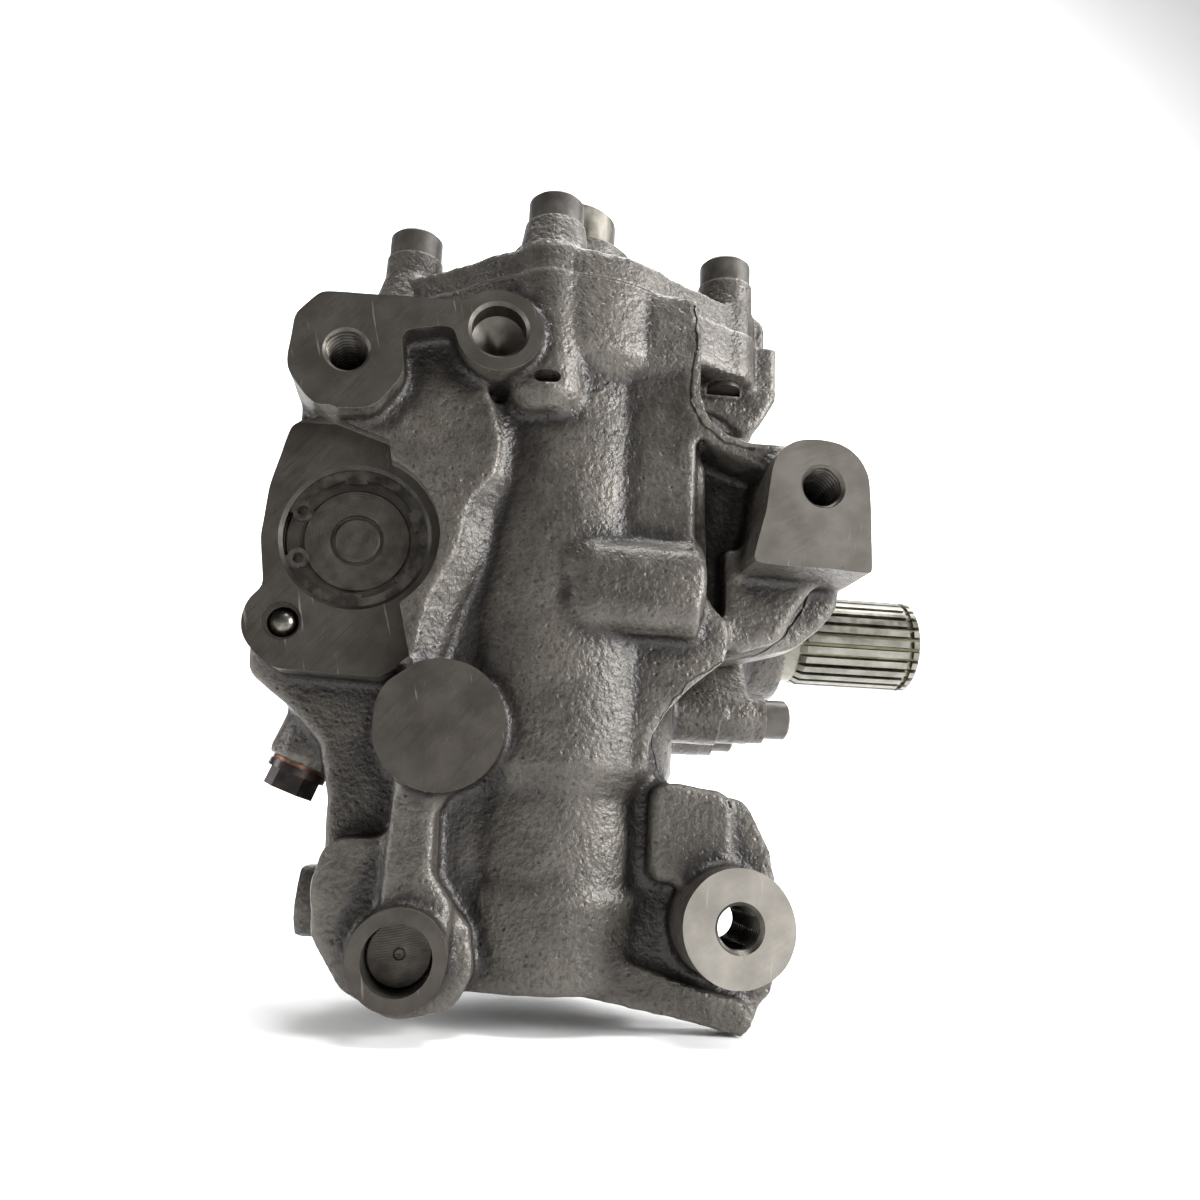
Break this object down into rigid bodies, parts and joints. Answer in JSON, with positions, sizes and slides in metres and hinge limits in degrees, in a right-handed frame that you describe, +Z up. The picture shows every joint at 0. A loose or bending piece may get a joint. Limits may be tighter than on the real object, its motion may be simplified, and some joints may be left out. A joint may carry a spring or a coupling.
{
  "type": "power steering gear",
  "caption": "Integral truck power steering gear: iron housing with mounting pads, bolted valve housing and input hub, side cover and splined sector shaft output.",
  "frame": {"origin": "mouth centre of the lower mounting hole, on the plane of the mounting pads", "axes": "+X along the output shaft towards its free end, +Y away from the mounting face into the gear, +Z up the worm axis to the input hub"},
  "size_m": [0.3152, 0.1864, 0.3615],
  "materials": {
    "cast_iron": "dark warm grey satin paint over fine cast texture, machined faces bare",
    "steel_parts": "bare ground steel",
    "dark_screws": "dark painted steel",
    "rubber_seals": "matt black rubber",
    "ptfe_rings": "bronze filled polymer",
    "copper_washer": "soft copper"
  },
  "bodies": {
    "housing": {"gear_housing": "cast_iron", "valve_housing": "cast_iron", "valve_housing_screws": "dark_screws", "valve_housing_oring": "rubber_seals", "input_bearing": "steel_parts", "input_seal": "rubber_seals", "worm_bearing_outer": "steel_parts", "worm_bearing_balls": "steel_parts", "sector_bearing_rear": "steel_parts", "sector_bearing_front": "steel_parts", "sector_seal": "rubber_seals", "sector_dust_seal": "rubber_seals", "side_cover": "cast_iron", "side_cover_screws": "dark_screws", "side_cover_oring": "rubber_seals", "adjuster_screw": "dark_screws", "adjuster_nut": "steel_parts", "bore_cap": "dark_screws", "bore_cap_oring": "rubber_seals", "retaining_ring": "dark_screws", "ball_plug": "steel_parts", "core_plug": "dark_screws", "hex_plug": "dark_screws", "hex_plug_washer": "copper_washer"},
    "sector": {"sector_shaft": "steel_parts", "adjuster_retainer": "steel_parts"},
    "piston": {"rack_piston": "dark_screws", "piston_ring": "ptfe_rings", "recirculating_balls": "steel_parts"},
    "worm": {"worm_shaft": "steel_parts", "worm_bearing_inner": "steel_parts", "valve_sleeve": "dark_screws", "valve_sleeve_rings": "ptfe_rings", "valve_sleeve_pin": "steel_parts"},
    "input": {"input_shaft": "steel_parts", "torsion_bar": "steel_parts", "torsion_bar_pin": "steel_parts"}
  },
  "joints": [
    {"name": "sector_turn", "type": "hinge", "parent": "housing", "child": "sector", "pos_m": [-0.068, 0.126, 0.132], "axis": [1, 0, 0], "range_deg": [-42, 42]},
    {"name": "piston_stroke", "type": "slide", "parent": "housing", "child": "piston", "axis": [0, 0, 1], "range_m": [-0.0236, 0.0236]},
    {"name": "worm_turn", "type": "hinge", "parent": "housing", "child": "worm", "pos_m": [-0.068, 0.067, 0.2], "axis": [0, 0, 1], "range_deg": [-706, 706]},
    {"name": "valve_twist", "type": "hinge", "parent": "worm", "child": "input", "pos_m": [-0.068, 0.067, 0.27], "axis": [0, 0, 1], "range_deg": [-4, 4], "stiffness_Nm_per_rad": 80}
  ],
  "couplings": [
    {"joint": "piston_stroke", "follows": "sector_turn", "m_per_rad": -0.032},
    {"joint": "worm_turn", "follows": "sector_turn", "ratio": 16.755}
  ]
}
